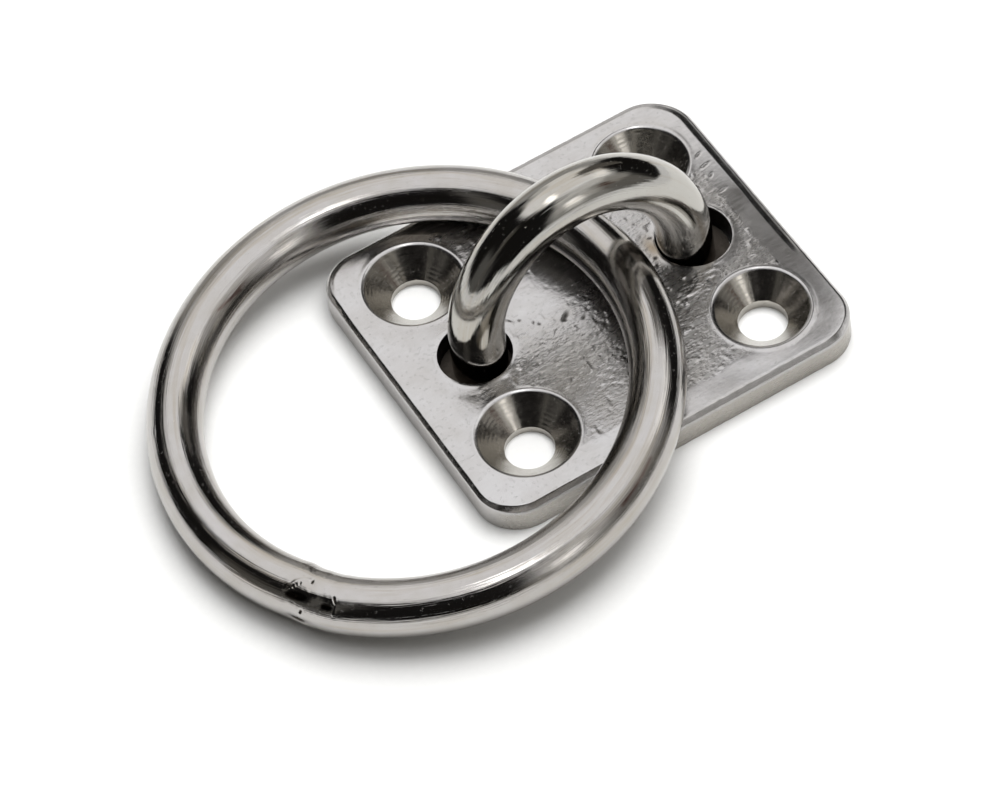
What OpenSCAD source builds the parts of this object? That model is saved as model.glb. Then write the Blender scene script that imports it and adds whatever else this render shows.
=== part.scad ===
// Mooring ring: a free swinging ring held under a bow on a cast screw-down plate.
// The origin is the middle of the plate's back face, +Z points out of the mounting surface
// and +X runs along the bow. The ring is drawn as it lies at rest, dropped towards -X.

/* [Plate] */
// Length of the plate along the bow, measured at its back
plate_l = 44.9; // [42.5:0.1:56]
// Width of the plate across the bow, measured at its back
plate_w = 39.4; // [37.5:0.1:43]
// Thickness of the plate inside the edge band
plate_t = 3.6; // [3.2:0.1:6]
// Radius of the plate's corners, seen from above
corner_r = 5; // [4:0.1:9]
// Draft of the cast sides, in degrees
side_draft = 4; // [0.5:0.5:8]
// Radius that rounds the top edge
edge_round = 0.75; // [0.3:0.05:1.2]
// Width of the polished band round the top face, measured from the plate's outline
band_w = 3.6; // [2:0.1:3.9]
// Slope of that band down to the edge, in degrees
band_slope = 4; // [1:0.5:8]

/* [Screw holes] */
// Distance between the screw holes along the bow
screw_pitch_x = 28.3; // [26:0.1:30]
// Distance between the screw holes across the bow
screw_pitch_y = 23.7; // [21.5:0.1:25]
// Diameter of each screw hole
screw_d = 5.3; // [4:0.1:6]
// Diameter of the countersink at the plate's face
sink_d = 10.8; // [9:0.1:11.4]
// Included angle of the countersink, in degrees
sink_angle = 90; // [82:1:104]
// Width of the rounded-over lip of the countersink
sink_lip_w = 0.35; // [0.1:0.05:0.6]
// Depth of that lip
sink_lip_h = 0.12; // [0.05:0.01:0.3]

/* [Bow] */
// Diameter of the bow's bar
bow_bar_d = 6; // [5:0.1:7]
// Height of the bow's crown above the plate's back
bow_h = 22.35; // [20:0.05:30]
// Distance between the middles of the two legs at the plate's back
leg_pitch = 25.7; // [23.5:0.1:28]
// Radius of the crown's bend, at the middle of the bar
crown_r = 11.5; // [9.5:0.1:13]
// Half of the crown's sweep, before the wider shoulder bends begin, in degrees
crown_half_sweep = 35; // [20:1:45]
// Angle by which each leg spreads outwards going down, in degrees
leg_splay = 1.5; // [0:0.25:3]
// Angle by which the bow leans towards +Y, in degrees
bow_lean = 2.5; // [0:0.25:5]
// How far the bow sits off the plate's middle, along its own line
bow_shift_x = -0.14; // [-0.4:0.02:0.4]
// How far the bow's feet sit off the plate's middle, across its line
bow_shift_y = 0.17; // [-0.5:0.01:0.5]

/* [Bow seat] */
// Play of a leg in its oversize hole, on the radius
leg_play = 0.9; // [0.6:0.05:1.3]
// Least gap between a leg and the inner side of its hole
leg_gap = 0.05; // [0.03:0.01:0.2]
// Width and depth of the broken edge round each leg hole
leg_hole_chamfer = 0.25; // [0.1:0.05:0.5]
// Height of the weld that fills each leg hole from the back
leg_weld_h = 1.2; // [0.6:0.1:2]

/* [Ring] */
// Diameter of the ring's bar
ring_bar_d = 6; // [5:0.1:6.5]
// Inside diameter of the ring
ring_inside_d = 44.6; // [42:0.1:60]
// Where the ring's bar lies under the bow, measured from the plate's middle along the bow
ring_bar_x = 3.5; // [1:0.1:4]
// How far the ring's middle lies off the plate's middle, across the bow
ring_mid_y = -1.7; // [-3:0.1:3]
// Gap between the ring's bar and the plate's long edges where it rests
rest_gap = 0.3; // [0.2:0.05:0.6]
// Place of the ring's butt weld, counted round from +X, in degrees
ring_weld_at = 214.8; // [150:0.1:300]
// Stretch of ring that the weld takes, in degrees
ring_weld_sweep = 7; // [3:0.5:15]
// How far the weld stands proud of the bar
ring_weld_proud = 0.08; // [0.02:0.01:0.2]

/* [Hidden] */
$fn = 96;
// Extra length by which a cut runs past the face it opens
over = 1;

// Edge band and rounded edge, as lines across the rim section: the side face and the band
// each have an outward normal, and the round's middle lies edge_round inside both of them
band_x = corner_r - band_w;
side_normal = [cos(side_draft), sin(side_draft)];
band_normal = [sin(band_slope), cos(band_slope)];
side_inset = corner_r * side_normal[0] - edge_round;
band_inset = [band_x, plate_t] * band_normal - edge_round;
round_mid = [
    side_inset * band_normal[1] - band_inset * side_normal[1],
    band_inset * side_normal[0] - side_inset * band_normal[0]
] / cos(side_draft + band_slope);
round_on_side = round_mid + edge_round * side_normal;
round_on_band = round_mid + edge_round * band_normal;

// Countersink
sink_rate = tan(sink_angle / 2);
sink_depth = (sink_d - screw_d) / 2 / sink_rate;

// Bow centreline: a crown bend, two shoulder bends and two straight legs, tangent throughout
crown_z = bow_h - bow_bar_d / 2;
foot_x = leg_pitch / 2;
shoulder_r = (foot_x - crown_r * sin(crown_half_sweep)
        - tan(leg_splay) * (crown_z - crown_r + crown_r * cos(crown_half_sweep)))
    / (cos(leg_splay) - sin(crown_half_sweep)
        + tan(leg_splay) * (sin(leg_splay) - cos(crown_half_sweep)));
shoulder_mid = [
    (crown_r - shoulder_r) * sin(crown_half_sweep),
    crown_z - crown_r + (crown_r - shoulder_r) * cos(crown_half_sweep)
];
leg_top = shoulder_mid + shoulder_r * [cos(leg_splay), sin(leg_splay)];
// Each next stretch of the bar starts a little way inside the one before and is a hair
// thinner, which joins the stretches into one sound solid
bend_overlap = 0.2;
shoulder_d = bow_bar_d - 0.01;
leg_d = bow_bar_d - 0.02;

// Leg holes: far enough apart that a leg still clears the inner side at the plate's face
leg_hole_d = bow_bar_d + 2 * leg_play;
leg_hole_x = foot_x + leg_play - leg_gap - abs(bow_shift_x) - plate_t * tan(leg_splay);
leg_hole_y = bow_shift_y + plate_t / 2 * tan(bow_lean);

// Rest pose of the ring: its far side lies on the mounting surface and its bar on the two
// long edges of the plate, so its plane rises by rise_x along X and by rise_y along Y
ring_r = (ring_inside_d + ring_bar_d) / 2;
edge_y = plate_w / 2 - corner_r + round_mid[0];
edge_z = round_mid[1] + edge_round;
cross_y = [edge_y - ring_mid_y, -edge_y - ring_mid_y];
cross_x = [for (y = cross_y) sqrt(ring_r * ring_r - y * y)];
rise_ratio = (cross_x[1] - cross_x[0]) / (cross_y[0] - cross_y[1]);
rise_x = (edge_z + rest_gap) / (ring_r + cross_x[0] + rise_ratio * cross_y[0]);
rise_y = rise_ratio * rise_x;
rise_all = norm([rise_x, rise_y]);
ring_mid = [
    ring_bar_x - ring_r * cos(atan(rise_x)),
    ring_mid_y,
    ring_bar_d / 2 + ring_r * sin(atan(rise_all))
];
ring_tilt = [atan(rise_y * cos(atan(rise_x))), -atan(rise_x), 0];

function plate_corner(quarter) = [
    (quarter == 0 || quarter == 3 ? 1 : -1) * (plate_l / 2 - corner_r),
    (quarter < 2 ? 1 : -1) * (plate_w / 2 - corner_r),
    0
];

function plate_side(quarter) = (quarter % 2 == 0 ? plate_w : plate_l) - 2 * corner_r;

// Section of the plate's rim, outwards from the middle of a corner
module rim_section() {
    polygon([
        [0, 0], [corner_r, 0], round_on_side, round_mid, round_on_band,
        [band_x, plate_t], [0, plate_t]
    ]);
    intersection() {
        translate(round_mid) circle(r = edge_round);
        polygon([round_mid, round_on_side, round_on_side + edge_round * band_normal,
            round_on_band + edge_round * side_normal, round_on_band]);
    }
}

// The plate before drilling: a corner bend and the straight side next to it, four times
module plate_blank() {
    for (quarter = [0:3])
        translate(plate_corner(quarter)) rotate(90 * quarter) {
            rotate_extrude(angle = 90) rim_section();
            rotate([90, 0, 0]) linear_extrude(plate_side(quarter)) rim_section();
        }
    translate([corner_r - plate_l / 2, corner_r - plate_w / 2, 0])
        cube([plate_l - 2 * corner_r, plate_w - 2 * corner_r, plate_t]);
}

module screw_hole() {
    translate([0, 0, -over]) cylinder(d = screw_d, h = plate_t + 2 * over);
    translate([0, 0, plate_t - sink_depth])
        cylinder(d1 = screw_d, d2 = sink_d + 2 * over * sink_rate, h = sink_depth + over);
    lip_rate = (sink_lip_w + sink_lip_h * sink_rate) / sink_lip_h;
    translate([0, 0, plate_t - sink_lip_h])
        cylinder(r1 = sink_d / 2 - sink_lip_h * sink_rate,
            r2 = sink_d / 2 + sink_lip_w + over * lip_rate, h = sink_lip_h + over);
}

module leg_hole() {
    translate([0, 0, -over]) cylinder(d = leg_hole_d, h = plate_t + 2 * over);
    translate([0, 0, plate_t - leg_hole_chamfer])
        cylinder(d1 = leg_hole_d, d2 = leg_hole_d + 2 * (leg_hole_chamfer + over),
            h = leg_hole_chamfer + over);
}

module mounting_plate() color("silver") difference() {
    plate_blank();
    for (x = [-1, 1], y = [-1, 1])
        translate([x * screw_pitch_x / 2, y * screw_pitch_y / 2, 0]) screw_hole();
    for (x = [-1, 1]) translate([x * leg_hole_x, leg_hole_y, 0]) leg_hole();
}

module bow_crown() {
    translate([0, 0, crown_z - crown_r]) rotate([90, 0, 0]) rotate(90 - crown_half_sweep)
        rotate_extrude(angle = 2 * crown_half_sweep)
            translate([crown_r, 0]) circle(d = bow_bar_d);
}

module bow_shoulder() {
    sweep = 90 - crown_half_sweep - leg_splay + bend_overlap / shoulder_r * 180 / PI;
    translate([shoulder_mid[0], 0, shoulder_mid[1]]) rotate([90, 0, 0]) rotate(leg_splay)
        rotate_extrude(angle = sweep) translate([shoulder_r, 0]) circle(d = shoulder_d);
}

// One leg, running past the plate's back
module bow_leg() {
    translate([leg_top[0], 0, leg_top[1]]) rotate([0, 180 - leg_splay, 0])
        translate([0, 0, -bend_overlap])
            cylinder(d = leg_d, h = bend_overlap + leg_top[1] / cos(leg_splay) + bow_bar_d);
}

module place_bow() {
    translate([bow_shift_x, bow_shift_y, 0]) rotate([-bow_lean, 0, 0]) children();
}

module bow() color("gainsboro") difference() {
    place_bow() {
        bow_crown();
        for (side = [0, 1]) mirror([side, 0, 0]) {
            bow_shoulder();
            bow_leg();
        }
    }
    translate([-plate_l, -plate_w, -2 * bow_bar_d])
        cube([2 * plate_l, 2 * plate_w, 2 * bow_bar_d]);
}

// Weld that fills the play round one leg, flush with the plate's back
module leg_weld(side) color("darkgray") difference() {
    translate([side * leg_hole_x, leg_hole_y, 0]) cylinder(d = leg_hole_d, h = leg_weld_h);
    place_bow() mirror([side < 0 ? 1 : 0, 0, 0]) bow_leg();
}

module left_leg_weld() leg_weld(-1);

module right_leg_weld() leg_weld(1);

module ring() color("lightgray") translate(ring_mid) rotate(ring_tilt) {
    rotate_extrude() translate([ring_r, 0]) circle(d = ring_bar_d);
    rotate(ring_weld_at - ring_weld_sweep / 2) rotate_extrude(angle = ring_weld_sweep)
        translate([ring_r, 0]) circle(d = ring_bar_d + 2 * ring_weld_proud);
}

mounting_plate();
bow();
left_leg_weld();
right_leg_weld();
ring();
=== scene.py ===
import itertools
import math

import bpy
import numpy as np
from mathutils import Matrix, Vector
from mathutils.geometry import delaunay_2d_cdt


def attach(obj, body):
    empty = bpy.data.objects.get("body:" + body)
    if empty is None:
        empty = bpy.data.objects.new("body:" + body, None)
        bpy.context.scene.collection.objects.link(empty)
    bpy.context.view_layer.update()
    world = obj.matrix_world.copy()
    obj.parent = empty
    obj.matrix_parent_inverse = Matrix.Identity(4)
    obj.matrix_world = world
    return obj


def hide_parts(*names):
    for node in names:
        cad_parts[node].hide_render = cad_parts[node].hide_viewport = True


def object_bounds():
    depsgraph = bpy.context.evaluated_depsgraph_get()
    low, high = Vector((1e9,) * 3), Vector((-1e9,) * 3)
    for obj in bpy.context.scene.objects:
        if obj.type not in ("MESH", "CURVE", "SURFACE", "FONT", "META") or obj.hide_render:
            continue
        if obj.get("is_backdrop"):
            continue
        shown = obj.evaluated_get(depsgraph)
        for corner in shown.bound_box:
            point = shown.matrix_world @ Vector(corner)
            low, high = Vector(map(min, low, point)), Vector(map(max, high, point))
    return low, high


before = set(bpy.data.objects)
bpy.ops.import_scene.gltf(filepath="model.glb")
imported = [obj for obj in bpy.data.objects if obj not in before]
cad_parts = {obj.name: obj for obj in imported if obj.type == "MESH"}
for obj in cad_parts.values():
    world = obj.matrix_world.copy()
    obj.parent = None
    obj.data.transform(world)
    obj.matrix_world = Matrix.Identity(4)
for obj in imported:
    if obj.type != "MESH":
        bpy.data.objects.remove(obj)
bounds_at_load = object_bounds()

# All lengths below are in millimetres, as in the part's source; meshes and objects are written in metres.
MM = 0.001

# The photograph's camera: azimuth, elevation and roll in degrees, place along its own axes, lens, sensor
CAMERA_TURN, CAMERA_PLACE = (-23.92674, 53.82178, -8.79785), (-9.31106, -8.41821, 435.545)
LENS, SENSOR = 148.406, 36

PLATE_HALF = np.array([22.45, 19.7])
PLATE_T = 3.6
CORNER_R = {(1, 1): 5.5, (-1, 1): 4.6, (-1, -1): 4.8, (1, -1): 4.9}
# The smooth ground band round the plate's top, falling towards the rim
BAND_W, BAND_SLOPE = 3.6, math.radians(4)
# Each side's lean, its bevel (inwards and down from the corner) and how far in the band bends into it
SOUTH_DRAFT, SOUTH_BEVEL, SOUTH_EASE = math.radians(4), (0.42, 0.68), 0.08
OTHER_DRAFT, OTHER_BEVEL, OTHER_EASE = math.radians(1), (0.42, 0.42), 0.24
BEVEL_ROUND = 0.12
# Rows of points in each rounding of the rim and down its side, and rows over which the top's relief fades
RIM_CURVE, RIM_SIDE, RIM_FADE = 6, 8, 16
# Largest gap between points along the rim, points round a hole, and spacing of the points on the top
RIM_SPACING, HOLE_POINTS, TOP_SPACING = 0.3, 128, 0.155
HOLE_ANGLES = np.arange(HOLE_POINTS) * 2 * np.pi / HOLE_POINTS
SCREW_R = 2.65
# Each countersink as it was drilled: its middle and the outer radius of its rounded lip
SINKS = [((-14.15, -11.5), 5.75), ((-14.15, 11.85), 5.75), ((14.4, -11.75), 5.45), ((14.2, 11.75), 5.55)]
# The lip's section, from its outer edge inwards: distance in, height over the plate's face
LIP = [(0.10, 0.012), (0.20, 0.0), (0.30, -0.035), (0.39, -0.08), (0.47, -0.12)]
LEG_HOLES = [((-13.4, 0.33), 3.87), ((13.62, 0.30), 4.0)]

BAR_R = 3.0
# The bow's middle line: height and radius of the crown, half its angle, how far the legs lean outwards
BOW_TOP, CROWN_R, CROWN_HALF, LEG_SPLAY = 19.35, 11.5, math.radians(35), math.radians(1.5)
FOOT_X, BOW_SHIFT, BOW_LEAN = 12.85, np.array([-0.14, 0.17, 0.0]), math.radians(2.5)

# The ring's middle radius, and its place and axes at rest: E1 and E2 in its plane, E3 square to it
RING_R = 25.3
RING_MID = np.array([-21.703, -1.7, 5.2254])
RING_E1 = np.array([0.99616307, 0.0, 0.08751647])
RING_E2 = np.array([-7.759e-4, 0.9999607, 8.83194e-3])
RING_E3 = np.cross(RING_E1, RING_E2)
# Where the ring's butt weld is, in degrees round the ring
RING_WELD_AT = 214.8
# Degrees round the ring from, to and between rows of points, closest at the weld, and points round the bar
RING_STEPS = [(0, 205, 1.0), (205, 209, 0.3), (209, 223.5, 0.1), (223.5, 227, 0.3), (227, 360, 1.0)]
RING_POINTS = 180
# Points round the bow's bar, and rows along it
BOW_POINTS, BOW_ROWS = 168, 430


# Camera, at the photograph's own viewing angle

def add_camera():
    azimuth, elevation, roll = (math.radians(a) for a in CAMERA_TURN)
    back = np.array([math.sin(azimuth) * math.cos(elevation), -math.cos(azimuth) * math.cos(elevation),
                     math.sin(elevation)])
    level = np.array([math.cos(azimuth), math.sin(azimuth), 0])
    rise = np.cross(back, level)
    right = math.cos(roll) * level + math.sin(roll) * rise
    up = -math.sin(roll) * level + math.cos(roll) * rise
    place = right * CAMERA_PLACE[0] + up * CAMERA_PLACE[1] + back * CAMERA_PLACE[2]
    data = bpy.data.cameras.new("camera")
    data.sensor_width = SENSOR
    data.lens = LENS
    data.clip_start, data.clip_end = 0.01, 20
    camera = bpy.data.objects.new("camera", data)
    bpy.context.scene.collection.objects.link(camera)
    matrix = Matrix.Identity(4)
    for column, axis in enumerate((right, up, back)):
        for row in range(3):
            matrix[row][column] = axis[row]
    matrix.translation = Vector(place * MM)
    camera.matrix_world = matrix
    bpy.context.scene.camera = camera


# Smooth noise and small surface features

def noise(points, size, seed):
    """Smooth value noise from -1 to 1 at points (n x d), with features about size across."""
    q = np.asarray(points, float) / size
    base = np.floor(q).astype(np.int64)
    t = q - base
    t = t * t * t * (t * (t * 6 - 15) + 10)
    total = np.zeros(len(q))
    for corner in itertools.product((0, 1), repeat=q.shape[1]):
        key = np.full(len(q), seed * 7919 + 17, np.uint64)
        weight = np.ones(len(q))
        for k, bit in enumerate(corner):
            key = (key ^ (base[:, k] + bit).astype(np.uint64)) * np.uint64(0x9E3779B97F4A7C15)
            key ^= key >> np.uint64(29)
            weight *= t[:, k] if bit else 1 - t[:, k]
        key = key * np.uint64(0xBF58476D1CE4E5B9)
        key ^= key >> np.uint64(32)
        total += weight * ((key & np.uint64(0xFFFFFF)).astype(float) / 0x7FFFFF - 1)
    return total


def fractal(points, size, seed, octaves=3, gain=0.5):
    """Noise with finer and weaker noise added, each octave half the size of the last."""
    return sum(noise(points, size / 2 ** k, seed + k) * gain ** k for k in range(octaves))


def step(x, low, high):
    """A smooth step from 0 at low to 1 at high."""
    t = np.clip((x - low) / (high - low), 0, 1)
    return t * t * (3 - 2 * t)


def bump(x, y, at, size, turn=0.0):
    """A round-topped bump of height 1: at is its middle, size its half widths, turn its angle in degrees."""
    c, s = math.cos(math.radians(turn)), math.sin(math.radians(turn))
    dx, dy = x - at[0], y - at[1]
    return np.exp(-((dx * c + dy * s) / size[0]) ** 2 - ((dy * c - dx * s) / size[1]) ** 2)


def line_distance(x, y, line):
    """Distance from (x, y) to a bent line of points."""
    best = np.full(np.shape(x), np.inf)
    for (ax, ay), (bx, by) in zip(line, line[1:]):
        dx, dy = bx - ax, by - ay
        t = np.clip(((x - ax) * dx + (y - ay) * dy) / (dx * dx + dy * dy), 0, 1)
        best = np.minimum(best, np.hypot(x - ax - t * dx, y - ay - t * dy))
    return best


# Meshes

def add_mesh(name, verts, faces, material, smooth_angle=35, attributes=None):
    """An object from points in millimetres, shaded smooth below smooth_angle, with values for each point."""
    mesh = bpy.data.meshes.new(name)
    mesh.from_pydata((np.asarray(verts) * MM).tolist(), [], faces)
    mesh.validate()
    for label, values in (attributes or {}).items():
        values = np.asarray(values, np.float32)
        if values.ndim == 2:
            layer = mesh.attributes.new(label, "FLOAT_VECTOR", "POINT")
            layer.data.foreach_set("vector", values.ravel())
        else:
            layer = mesh.attributes.new(label, "FLOAT", "POINT")
            layer.data.foreach_set("value", values)
    mesh.polygons.foreach_set("use_smooth", [True] * len(mesh.polygons))
    mesh.set_sharp_from_angle(angle=math.radians(smooth_angle))
    mesh.materials.append(material)
    mesh.update()
    obj = bpy.data.objects.new(name, mesh)
    bpy.context.scene.collection.objects.link(obj)
    return obj


def grid_faces(rows, columns, first=0, close_rows=False, close_columns=True, flip=False):
    """Quads between a grid's vertices, numbered row by row from first."""
    faces = []
    for i in range(rows if close_rows else rows - 1):
        a, b = first + i * columns, first + (i + 1) % rows * columns
        for j in range(columns if close_columns else columns - 1):
            k = (j + 1) % columns
            quad = (a + j, a + k, b + k, b + j)
            faces.append(quad[::-1] if flip else quad)
    return faces


# The ring: a bent bar, butt-welded and ground over at one place. Places on it are (u, v): the distance along
# the bar from the weld, and the distance round the bar from its outer side upwards.

# The weld's raised seam, the crack in it and its low far edge, as bent lines
WELD_LINE = [(-1.86, 3.06), (-1.6, 3.46), (-1.3, 3.8), (-0.94, 4.28), (-0.42, 4.76), (0.2, 4.92)]
WELD_CRACK = [(3.32, 3.8), (3.52, 3.32)]
WELD_EDGE = [(3.54, 3.5), (3.44, 2.84), (3.36, 2.14)]
# Pits in the ring: place, half widths, turn, depth. All but the last hold dark residue.
RING_PITS = [((-1.34, 3.36), (0.09, 0.09), 0, 0.06), ((-1.06, 3.62), (0.11, 0.08), 50, 0.07),
             ((-0.82, 3.9), (0.08, 0.08), 0, 0.06), ((-0.5, 4.2), (0.12, 0.08), 50, 0.07),
             ((0.62, 4.85), (0.12, 0.22), 0, 0.10), ((-0.52, 2.84), (1.30, 0.46), 12, 0.05),
             ((2.68, 2.76), (0.62, 0.34), 0, 0.05), ((0.18, 1.42), (0.17, 0.27), -20, 0.16),
             ((-0.3, -0.1), (0.85, 0.42), 14, 0.30), ((-14.7, 3.2), (0.08, 0.4), 25, 0.04),
             ((-8.0, 1.26), (0.10, 0.13), 0, 0.08), ((-26.0, 2.9), (0.10, 0.10), 0, 0.05)]
# Fine lines left by polishing along the ring's bar: place round the bar, start, length, height
RING_LINES = [(4.15, 2, 26, 0.016), (4.55, 3, 20, 0.014), (3.75, 8, 30, -0.010), (4.9, 20, 34, 0.012),
              (5.6, 30, 40, -0.012), (2.1, 12, 40, -0.010), (1.2, 24, 30, 0.010), (3.2, 48, 30, -0.012),
              (4.4, 60, 28, 0.012), (5.2, 70, 30, -0.014), (3.9, 92, 26, 0.012), (4.8, 100, 24, 0.010),
              (5.9, 96, 30, -0.012), (2.6, 84, 28, -0.010), (4.2, -28, 24, 0.010), (5.0, -40, 30, -0.014),
              (3.6, -46, 30, 0.010), (5.6, -58, 34, 0.014), (4.6, -66, 26, -0.012), (2.4, -50, 30, 0.012),
              (1.6, -30, 26, -0.010), (6.1, -36, 28, -0.014), (6.5, -60, 30, 0.012), (3.1, -72, 26, -0.010)]


def ring_surface(phi, theta):
    """The bar's radius, the outward shift of its middle, u and v at ring angle phi and bar angle theta."""
    u = np.radians(phi - RING_WELD_AT) * RING_R
    v = theta * BAR_R
    around = np.stack([RING_R * np.cos(np.radians(phi)), RING_R * np.sin(np.radians(phi))], 1)
    section = np.stack([BAR_R * np.cos(theta), BAR_R * np.sin(theta)], 1)
    long_waves = np.concatenate([around * 0.10, section * 0.8], 1)
    streaks = np.concatenate([around * 0.035, section * 1.7], 1)
    radius = BAR_R + 0.016 * noise(long_waves, 1.3, 3) + 0.005 * noise(streaks, 0.75, 5)

    # The two ends of the bar don't quite meet, and the metal between them is uneven
    weld = step(u, -2.6, -1.2) * (1 - step(u, 3.3, 4.6))
    shift = -0.24 * np.exp(np.minimum(u + 1.2, 0) / 7) * (1 - step(u, -1.4, 0.6))
    shift += 0.13 * np.exp(-np.maximum(u - 2.6, 0) / 7) * step(u, 0.4, 3.4)
    place = np.stack([u, v], 1)
    radius += weld * (0.018 * fractal(place, 1.4, 21, 3) + 0.005 * noise(place, 0.3, 25) + 0.02)

    # The outer side is worn a little flat, and a flat was ground beside the weld
    flat = step(theta, 0.09, 0.44) * (1 - step(theta, 0.5, 1.3))
    beside_weld = 1 - step(u, -3.5, -1.5) * (1 - step(u, 4, 6))
    radius -= 0.065 * flat * step(np.cos(np.radians(phi - 215)), 0.1, 0.6) * beside_weld
    radius -= 0.09 * bump(u, v, (2.3, 2.95), (0.95, 0.62), 8)
    radius += 0.06 * np.exp(-(line_distance(u, v, WELD_LINE) / 0.16) ** 2)
    radius -= 0.10 * np.exp(-(line_distance(u, v, WELD_CRACK) / 0.09) ** 2)
    radius += 0.03 * np.exp(-(line_distance(u, v, WELD_EDGE) / 0.12) ** 2)
    radius += 0.03 * bump(u, v, (0.25, 5.1), (0.22, 0.16))
    for at, size, turn, depth in RING_PITS:
        radius -= depth * bump(u, v, at, size, turn)
    for at, start, length, height in RING_LINES:
        t = np.clip((u - start) / length, 0, 1)
        sway = at + 0.10 * np.sin(0.21 * u + 7 * at)
        ragged = 0.6 + 0.4 * np.sin(1.9 * u + 11 * at)
        radius += height * np.sqrt(4 * t * (1 - t)) * ragged * np.exp(-((v - sway) / 0.13) ** 2)
    return radius, shift, u, v


def ring_dirt(u, v):
    """Dark residue in the weld's pits and crack."""
    dirt_and_shade = step(np.exp(-(line_distance(u, v, WELD_CRACK) / 0.11) ** 2), 0.25, 0.6)
    for at, size, turn, _ in RING_PITS[:-1]:
        dirt_and_shade = np.maximum(dirt_and_shade, step(bump(u, v, at, size, turn), 0.28, 0.55))
    return dirt_and_shade


# The reddish streaks' ends, in degrees round the ring and round the bar
RED_STREAKS = [((112, 141), (120.5, 129)), ((291, 45), (303, 50))]


def red_streaks(u, v):
    """Where the ring keeps its faint reddish heat streaks."""
    red = 0
    for start, end in RED_STREAKS:
        line = [(math.radians(a - RING_WELD_AT) * RING_R, math.radians(b) * BAR_R) for a, b in (start, end)]
        red = np.maximum(red, np.exp(-(line_distance(u, v, line) / 0.16) ** 2))
    return red


def add_ring(material):
    angles = np.concatenate([np.arange(a, b - d / 2, d) for a, b, d in RING_STEPS])
    phi = np.repeat(angles, RING_POINTS)
    theta = np.tile(np.linspace(-np.pi, np.pi, RING_POINTS, endpoint=False), len(angles))
    radius, shift, u, v = ring_surface(phi, theta)
    turn = np.radians(phi)
    out = np.cos(turn)[:, None] * RING_E1 + np.sin(turn)[:, None] * RING_E2
    normal = np.cos(theta)[:, None] * out + np.sin(theta)[:, None] * RING_E3
    verts = RING_MID + (RING_R + shift)[:, None] * out + radius[:, None] * normal
    grain = np.stack([np.cos(turn) * RING_R, np.sin(turn) * RING_R, v], 1)
    faces = grid_faces(len(angles), RING_POINTS, close_rows=True, flip=True)
    # The bar's lower side, on the half of the ring that lies on the floor: rougher, and darkened with painted
    # shade for the floor's shadow that it mirrors
    west = step(np.cos(np.radians(phi - 215)), 0.15, 0.6)
    wavering = theta + 0.06 * noise(np.stack([u, v], 1), 2.0, 41)
    under = west * step(theta, -2.6, -1.8) * (1 - step(wavering, -0.64, -0.42))
    marks = {"grain": grain, "red": red_streaks(u, v), "dirt_and_shade": ring_dirt(u, v), "under": under}
    obj = add_mesh("ring_bar", verts, faces, material, 60, marks)
    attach(obj, "ring")
    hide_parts("ring")


# The bow: a bent bar whose legs end at the plate's back

def bow_line(count):
    """Points, tangents and outward normals in the bow's own plane, from the +X foot to the -X foot."""
    # The shoulder's radius is the one that lets a leg end at FOOT_X
    spread = math.tan(LEG_SPLAY)
    reach = FOOT_X - CROWN_R * math.sin(CROWN_HALF)
    rise = BOW_TOP - CROWN_R + CROWN_R * math.cos(CROWN_HALF)
    shoulder_r = ((reach - spread * rise)
                  / (math.cos(LEG_SPLAY) - math.sin(CROWN_HALF)
                     + spread * (math.sin(LEG_SPLAY) - math.cos(CROWN_HALF))))
    middle = np.array([(CROWN_R - shoulder_r) * math.sin(CROWN_HALF),
                       BOW_TOP - CROWN_R + (CROWN_R - shoulder_r) * math.cos(CROWN_HALF)])
    leg_top = middle + shoulder_r * np.array([math.cos(LEG_SPLAY), math.sin(LEG_SPLAY)])
    leg = leg_top[1] / math.cos(LEG_SPLAY)
    shoulder = shoulder_r * (math.pi / 2 - CROWN_HALF - LEG_SPLAY)
    half = leg + shoulder + CROWN_R * CROWN_HALF
    along = np.linspace(0, 2 * half, count)
    points, tangents = [], []
    for s in along:
        q = min(s, 2 * half - s)
        if q < leg:
            p = (leg_top[0] + (leg - q) * math.sin(LEG_SPLAY), q * math.cos(LEG_SPLAY))
            t = (-math.sin(LEG_SPLAY), math.cos(LEG_SPLAY))
        elif q < leg + shoulder:
            a = LEG_SPLAY + (q - leg) / shoulder_r
            p = middle + shoulder_r * np.array([math.cos(a), math.sin(a)])
            t = (-math.sin(a), math.cos(a))
        else:
            a = math.pi / 2 - CROWN_HALF + (q - leg - shoulder) / CROWN_R
            p = (CROWN_R * math.cos(a), BOW_TOP - CROWN_R + CROWN_R * math.sin(a))
            t = (-math.sin(a), math.cos(a))
        if s > half:
            p, t = (-p[0], p[1]), (t[0], -t[1])
        points.append(p)
        tangents.append(t)
    points, tangents = np.array(points), np.array(tangents)
    return along, points, tangents, np.stack([tangents[:, 1], -tangents[:, 0]], 1)


# Fine lines left by polishing along the bow: angle round the bar in degrees, start, length, height
BOW_LINES = [(-8, 12, 22, 0.010), (-16, 20, 20, -0.010), (-24, 14, 24, 0.010), (-33, 24, 18, -0.008),
             (-41, 10, 26, 0.010), (-52, 18, 22, -0.010), (-63, 26, 18, 0.008), (4, 16, 20, -0.008),
             (-20, 38, 14, 0.010), (-36, 40, 12, -0.010), (-48, 36, 16, 0.008), (-72, 12, 22, -0.008),
             (-86, 20, 24, 0.008), (14, 26, 20, 0.008)]


def lean(v):
    """Turn points or directions of the upright bow to its slight lean."""
    c, s = math.cos(BOW_LEAN), math.sin(BOW_LEAN)
    return np.stack([v[:, 0], v[:, 1] * c + v[:, 2] * s, -v[:, 1] * s + v[:, 2] * c], 1)


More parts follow.
